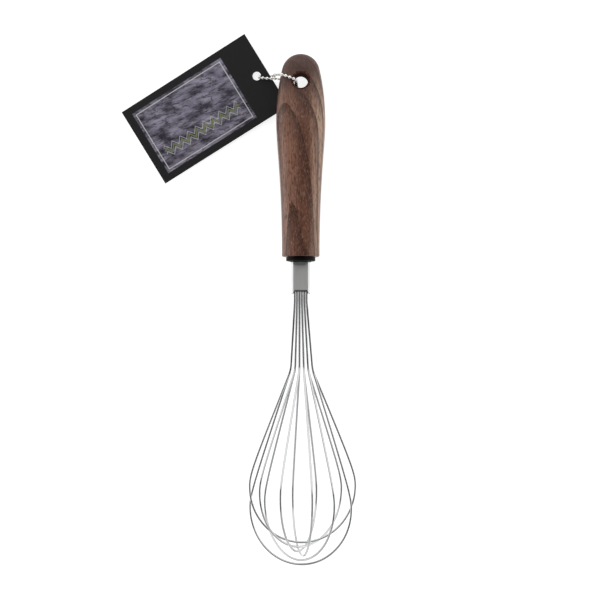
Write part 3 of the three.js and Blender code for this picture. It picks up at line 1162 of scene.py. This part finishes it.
@dataclass
class WireCage:
    """The wire loops, which step down one after the other round the cage."""

    ferrule: Ferrule
    twist: float = math.radians(4.6)
    radius: float = 0.0294
    neck_lead: float = 0.006
    shoulder_drop: float = 0.0434
    shoulder_half_width: float = 0.006
    shoulder_sway: float = 0.0005
    shoulder_rise: float = 0.0033
    shoulder_bend: float = 0.003
    flank_straightness: float = 0.9
    flank_ease: float = 0.0069
    bowl_height: float = 0.0307
    inner_depth: float = 0.1376
    pitch: float = 0.0024
    sway: tuple[float, ...] = (-0.0003, -0.0011, 0.0008, -0.001, 0.0003, 0.0011)
    setback: float = 0.0015
    bend_steps: int = 32
    round_steps: int = 5

    @property
    def pack(self) -> LegPack:
        """How the legs stand in the ferrule."""
        return self.ferrule.pack

    def leg(self, loop: int, side: int) -> list[Knot]:
        """Draw one leg from its end in the ferrule to the widest part of the cage.

        Args:
            loop: Number of the loop, from 0, the lowest one.
            side: 1 or -1, for the loop's two legs.

        Returns:
            Bezier points as (handle before, point, handle after).
        """
        spacing = math.pi / self.pack.loops
        azimuth = spacing / 2 + self.twist + loop * spacing
        out = Vector((math.cos(azimuth), 0, math.sin(azimuth))) * side
        down = Vector((0, -1, 0))
        across = self.pack.across(loop)
        rise = self.pack.row_offset + self.shoulder_rise * math.sqrt(1 - across**2)
        seat = Vector((self.pack.row_end * across, 0, self.pack.row_offset)) * side
        top = seat - down * (self.ferrule.top - self.setback)
        mouth = seat + down * self.neck_lead
        shoulder = Vector((self.shoulder_half_width * across, 0, rise)) * side + down * self.shoulder_drop
        shoulder.x += self.shoulder_sway
        sway = Vector((self.sway[loop], 0, 0))
        flank = out * self.radius + sway + down * (self.depth(loop) - self.bowl_height)
        over_flank = flank - down * self.flank_ease
        bend_from = shoulder + (mouth - shoulder).normalized() * self.shoulder_bend
        bend_to = shoulder + (over_flank - shoulder).normalized() * self.shoulder_bend
        lead = down * self.neck_lead / 3
        return [
            (top - lead, top, top + lead),
            (mouth - lead, mouth, mouth.lerp(bend_from, 1 / 3)),
            (bend_from.lerp(mouth, 1 / 3), bend_from, bend_from.lerp(shoulder, 2 / 3)),
            (bend_to.lerp(shoulder, 2 / 3), bend_to, bend_to.lerp(over_flank, self.flank_straightness)),
            (over_flank, flank, flank + down * self.bowl_height * QUARTER_ROUND),
        ]

    def depth(self, loop: int) -> float:
        """How far a loop hangs below the mouth of the ferrule."""
        return self.inner_depth + (self.pack.loops - 1 - loop) * self.pitch

    def route(self, loop: int) -> list[Knot]:
        """Draw a whole loop, down one leg, round the bottom and up the other.

        Args:
            loop: Number of the loop.

        Returns:
            Bezier points as (handle before, point, handle after).
        """
        near, far = self.leg(loop, 1), self.leg(loop, -1)
        across = near[-1][1] - far[-1][1]
        bottom = Vector((self.sway[loop], -self.depth(loop), 0))
        reach = across / 2 * QUARTER_ROUND
        back = [(after, point, before) for before, point, after in reversed(far)]
        return [*near, (bottom + reach, bottom, bottom - reach), *back]

    def build(self, loop: int) -> Mesh:
        """Bend one wire along its route.

        Args:
            loop: Number of the loop.

        Returns:
            The mesh.
        """
        curve = bpy.data.curves.new("wire", "CURVE")
        curve.dimensions = "3D"
        curve.bevel_depth = self.pack.wire_radius
        curve.bevel_resolution = self.round_steps
        curve.resolution_u = self.bend_steps
        curve.use_fill_caps = True
        route = self.route(loop)
        spline = curve.splines.new("BEZIER")
        spline.bezier_points.add(len(route) - 1)
        for knot, (before, point, after) in zip(spline.bezier_points, route):
            knot.handle_left_type = knot.handle_right_type = "FREE"
            knot.handle_left, knot.co, knot.handle_right = before, point, after
        wire = bpy.data.objects.new("wire", curve)
        bpy.context.scene.collection.objects.link(wire)
        mesh = baked(wire)
        bpy.data.objects.remove(wire)
        bpy.data.curves.remove(curve)
        bm = bmesh.new()
        bm.from_mesh(mesh)
        bpy.data.meshes.remove(mesh)
        return to_mesh(bm, self.ferrule.place.matrix)

    def dress(self) -> None:
        """Finish the loops in polished steel."""
        material = POLISHED_WIRE.material(self.ferrule.place)
        for loop in range(self.pack.loops):
            piece = linked(f"cage_loop_{loop + 1}", self.build(loop), material)
            settle(piece, Body.WHISK, Slot.POLISHED_STEEL, f"wire_loop_{loop + 1}")


# The chain and the tag


@dataclass
class BallChain:
    """A ball chain through the hang hole and the tag, closed by a clasp under the handle."""

    hang_hole: Vector
    over_handle: float
    tag: Object
    bead_radius: float = 0.0009
    bead_pitch: float = 0.00245
    link_radius: float = 0.0003
    on_table: float = 0.0009
    over_tag: float = 0.0042
    clasp_length: float = 0.006
    clasp_radius: float = 0.00135
    clasp_wall: float = 0.00025
    clasp_lip: float = 0.0004
    clasp_heading: float = math.radians(-14)
    clasp_from_hole: tuple[float, float] = (-0.0092, 0.0017)
    end_share: float = 0.3
    bead_gap: float = 0.0002
    end_space: float = 0.0003
    span_steps: int = 24
    bead_steps: int = 20
    link_steps: int = 10
    clasp_steps: int = 40
    line: list[Vector] = field(default_factory=list)

    def __post_init__(self) -> None:
        """Draw the route once."""
        self.line = self.smooth(self.route())

    @property
    def under_hole(self) -> Vector:
        """The point of the table under the hang hole."""
        return Vector((self.hang_hole.x, self.hang_hole.y, 0))

    @property
    def clasp_centre(self) -> Vector:
        """The middle of the clasp, from the table under the hang hole."""
        return Vector((*self.clasp_from_hole, self.clasp_radius))

    @property
    def clasp_axis(self) -> Vector:
        """The direction of the clasp on the table."""
        return Vector((math.cos(self.clasp_heading), math.sin(self.clasp_heading), 0))

    def route(self) -> list[Vector]:
        """Lay the chain from its clasp, up through the hang hole, over the handle, to the tag and back.

        Returns:
            The points of the route, in the shared frame.
        """
        inside = self.end_share * self.clasp_length
        ends = [self.end_space, inside, self.clasp_length / 2 + self.end_space]
        table, over, tag = self.on_table, self.over_handle, self.over_tag
        points = [
            *[self.clasp_centre + self.clasp_axis * end for end in ends],
            (-0.0047, -0.0001, table + 0.0002),
            (-0.0034, -0.0012, table + 0.0009),
            (-0.0026, -0.0019, table + 0.0028),
            (-0.0026, -0.0017, over - 0.0112),
            (-0.0025, -0.0010, over - 0.0078),
            (-0.0024, -0.0002, over - 0.0046),
            (-0.0023, 0.0006, over - 0.0020),
            (-0.0033, 0.0014, over - 0.0002),
            (-0.0053, 0.0022, over + 0.0003),
            (-0.0080, 0.0032, over - 0.0004),
            (-0.0108, 0.0040, over - 0.0019),
            (-0.0130, 0.0043, over - 0.0046),
            (-0.0142, 0.0044, over - 0.0082),
            (-0.0148, 0.0044, table + 0.0046),
            (-0.0154, 0.0044, table + 0.0017),
            (-0.0166, 0.0044, table + 0.0002),
            (-0.0184, 0.0044, table),
            (-0.0214, 0.0043, table),
            (-0.0233, 0.0041, table + 0.0004),
            (-0.0241, 0.0038, (table + tag) / 2),
            (-0.0233, 0.0034, tag - 0.0004),
            (-0.0214, 0.0030, tag),
            (-0.0186, 0.0027, tag),
            (-0.0159, 0.0026, tag),
            (-0.0143, 0.0027, tag - 0.0011),
            (-0.0132, 0.00265, self.clasp_radius + 0.0003),
            *[self.clasp_centre - self.clasp_axis * end for end in reversed(ends)],
        ]
        return [self.under_hole + Vector(point) for point in points]

    def smooth(self, points: list[Vector]) -> list[Vector]:
        """Run a centripetal curve through the points.

        Args:
            points: The points of the route.

        Returns:
            A fine line along the curve.
        """
        ends = [2 * points[0] - points[1], *points, 2 * points[-1] - points[-2]]
        line = [points[0]]
        for before, start, stop, after in zip(ends, ends[1:], ends[2:], ends[3:]):
            spans = ((before, start), (start, stop), (stop, after))
            first, middle, last = (math.sqrt((b - a).length) for a, b in spans)
            along = (stop - start) / middle
            leave = (start - before) / first - (stop - before) / (first + middle) + along
            arrive = along - (after - start) / (middle + last) + (after - stop) / last
            third = middle / 3
            near, far = start + leave * third, stop - arrive * third
            line += interpolate_bezier(start, near, far, stop, self.span_steps)[1:]
        return line

    def stations(self) -> list[tuple[Vector, Vector]]:
        """Space the beads evenly along the chain.

        Returns:
            The centre and the direction of each bead.
        """
        lengths = [(b - a).length for a, b in zip(self.line, self.line[1:])]
        total = sum(lengths)
        count = round(total / self.bead_pitch)
        wanted = [(bead + 0.5) * total / count for bead in range(count)]
        found = []
        gone = 0.0
        for start, stop, length in zip(self.line, self.line[1:], lengths):
            while len(found) < count and wanted[len(found)] <= gone + length:
                share = (wanted[len(found)] - gone) / length
                found.append((start.lerp(stop, share), (stop - start).normalized()))
            gone += length
        LOG.info("ball chain: %d beads on %.1f mm", count, total / MM)
        return found

    def build(self) -> Mesh:
        """String the beads on short links.

        Returns:
            The mesh.
        """
        bm = bmesh.new()
        stations = self.stations()
        for centre, along in stations:
            bmesh.ops.create_uvsphere(
                bm,
                u_segments=self.bead_steps,
                v_segments=self.bead_steps // 2,
                radius=self.bead_radius,
                matrix=stood(centre, along),
            )
        for (start, _), (stop, _) in zip(stations, stations[1:]):
            span = stop - start
            bmesh.ops.create_cone(
                bm,
                cap_ends=True,
                segments=self.link_steps,
                radius1=self.link_radius,
                radius2=self.link_radius,
                depth=span.length - self.bead_radius,
                matrix=stood((start + stop) / 2, span),
            )
        return to_mesh(bm, Matrix.Identity(4))

    def clasp(self) -> Mesh:
        """Turn the clasp, a sleeve with a narrowed lip at each end.

        Returns:
            The mesh.
        """
        half = self.clasp_length / 2
        bore = self.bead_radius + self.bead_gap
        lip = self.link_radius + self.bead_gap
        edge = self.clasp_wall
        outer = [
            (lip, half),
            (self.clasp_radius - edge, half),
            (self.clasp_radius - edge / 3, half - edge / 3),
            (self.clasp_radius, half - self.clasp_lip),
        ]
        inner = [(bore, half - 2 * self.clasp_lip), (lip, half - self.clasp_lip), (lip, half)]
        profile = [
            *outer,
            *[(radius, -along) for radius, along in reversed(outer)],
            *[(radius, -along) for radius, along in reversed(inner[:-1])],
            *inner,
        ]
        bm = turned(profile, self.clasp_steps)
        turn = Matrix.Rotation(self.clasp_heading - math.pi / 2, 4, "Z")
        return to_mesh(bm, Matrix.Translation(self.under_hole + self.clasp_centre) @ turn)

    def dress(self) -> None:
        """Finish the chain and its clasp in bright nickel."""
        material = BRIGHT_NICKEL.material(Place(Matrix.Identity(4)))
        chain = linked("bead_string", self.build(), material)
        settle(chain, Body.CHAIN, Slot.NICKEL, "ball_chain")
        clasp = linked("clasp_sleeve", self.clasp(), material)
        settle(clasp, Body.CHAIN, Slot.NICKEL, "chain_clasp")


@dataclass
class HangTag:
    """A flat card with a round hole, lying on the chain. Its solid has the right shape and stays."""

    hang_hole: Vector
    card: Object
    length: float = 0.082
    hole_inset: float = 0.00645
    lift: float = 0.0021
    heading: float = math.radians(31.3)
    from_hang_hole: tuple[float, float] = (-0.0251, 0.00425)

    @property
    def place(self) -> Place:
        """The tag's own axes, with its hole at the origin and its near end towards +X."""
        tilt = math.asin(self.lift / (self.length - self.hole_inset))
        east, north = self.from_hang_hole
        hole = Vector((self.hang_hole.x + east, self.hang_hole.y + north, self.lift))
        turn = Matrix.Rotation(self.heading, 4, "Z") @ Matrix.Rotation(-tilt, 4, "Y")
        return Place(Matrix.Translation(hole) @ turn)

    def dress(self) -> None:
        """Finish the card with its print."""
        self.card.data.materials.clear()
        self.card.data.materials.append(PrintedCard().material(self.place))
        LOG.info("%s: printed card", self.card.name)


# Studio


@dataclass
class Studio:
    """A white table in a pale room, with a dark ceiling over the whisk, where the camera stands."""

    whisk: Place
    distance: float = 1.0034
    lens: float = 109.46
    view_tilt: float = math.radians(-2.303)
    aim: tuple[float, float] = (-0.000415, -0.004955)
    table_size: float = 6.0
    table_colour: str = "#c6c6c6"
    table_glow: float = 0.8
    # Light from both sides, from beyond the handle and from beyond the wires
    side_light: float = 2.5
    head_light: float = 1.85
    foot_light: float = 0.85
    ceiling_light: float = 0.05
    # Where the dark ceiling begins to fade and where it ends, as shares of a direction
    ceiling_half_length: tuple[float, float] = (0.34, 0.48)
    ceiling_half_width: tuple[float, float] = (0.74, 0.95)

    def camera(self) -> None:
        """Set the camera over the whisk, nearly square to the handle's front."""
        axes = self.whisk.matrix.to_3x3()
        back = axes @ Vector((0, math.sin(self.view_tilt), math.cos(self.view_tilt)))
        up = axes @ Vector((0, math.cos(self.view_tilt), -math.sin(self.view_tilt)))
        right = up.cross(back)
        target = self.whisk.point(*self.aim, 0.0)
        lens = bpy.data.cameras.new("camera")
        lens.lens = self.lens
        camera = bpy.data.objects.new("camera", lens)
        turn = Matrix((right, up, back)).transposed().to_4x4()
        camera.matrix_world = Matrix.Translation(target + back * self.distance) @ turn
        bpy.context.scene.collection.objects.link(camera)
        bpy.context.scene.camera = camera

    def table(self) -> None:
        """Lay a white table top that keeps the shadows and looks white to the camera and in the metal."""
        bm = bmesh.new()
        bmesh.ops.create_grid(bm, x_segments=1, y_segments=1, size=self.table_size / 2)
        material, tree = surface("white_table")
        rays = add(tree, "LightPath").node.outputs
        seen = rays["Is Camera Ray"]
        for other in ("Is Glossy Ray", "Is Transmission Ray"):
            seen = add(tree, "Math", {0: seen, 1: rays[other]}, operation="MAXIMUM")
        glow = add(tree, "Math", {0: seen, 1: self.table_glow}, operation="MULTIPLY")
        lit = add(tree, "Emission", {"Strength": glow})
        matt = add(tree, "BsdfDiffuse", {"Color": linear(self.table_colour)})
        add(tree, "OutputMaterial", {0: add(tree, "AddShader", {0: lit, 1: matt})})
        mesh = bpy.data.meshes.new("table")
        bm.to_mesh(mesh)
        bm.free()
        linked("table_top", mesh, material)

    def room(self) -> None:
        """Light everything from a pale room with a dark ceiling, brightest at the sides."""
        world = bpy.data.worlds.new("room")
        world.use_nodes = True
        bpy.context.scene.world = world
        tree = world.node_tree
        tree.nodes.clear()
        direction = add(tree, "TexCoord", out="Generated")
        axes = add(tree, "SeparateXYZ", {0: direction}).node.outputs
        aside = add(tree, "Math", {0: axes[0]}, operation="ABSOLUTE")
        ahead = axes[1]
        behind = add(tree, "Math", {0: axes[1], 1: -1.0}, operation="MULTIPLY")
        past = [
            add(
                tree,
                "MapRange",
                {0: axis, 1: near, 2: far, 3: self.ceiling_light, 4: light},
                interpolation_type="SMOOTHSTEP",
            )
            for axis, (near, far), light in (
                (aside, self.ceiling_half_width, self.side_light),
                (ahead, self.ceiling_half_length, self.head_light),
                (behind, self.ceiling_half_length, self.foot_light),
            )
        ]
        light = past[0]
        for other in past[1:]:
            light = add(tree, "Math", {0: light, 1: other}, operation="MAXIMUM")
        add(tree, "OutputWorld", {0: add(tree, "Background", {"Strength": light})})

    def build(self) -> None:
        """Set up the camera, the table and the light."""
        bpy.context.scene.view_settings.view_transform = "Standard"
        self.camera()
        self.table()
        self.room()


def main() -> None:
    """Build and dress the whisk, its chain and its tag, and set up the studio."""
    logging.basicConfig(level=logging.INFO, format="%(name)s: %(message)s")
    hang_hole_from_mouth = 0.1155
    bead_over_handle = 0.0012
    whisk = whisk_place(hang_hole_from_mouth)
    Studio(whisk).build()
    ferrule = Ferrule(whisk, LegPack())
    collar = Collar(ferrule)
    handle = Handle(whisk, collar)
    cage = WireCage(ferrule)
    hang_hole = whisk.point(0, hang_hole_from_mouth, 0)
    rim = whisk.point(0, hang_hole_from_mouth, handle.hole_half_depth())
    card = frame["nodes"]["hang_tag"]
    chain = BallChain(hang_hole, rim.z + bead_over_handle, card)
    tag = HangTag(hang_hole, card)
    for part in (chain, tag, handle, collar, ferrule, cage):
        part.dress()


if __name__ == "__main__":
    main()
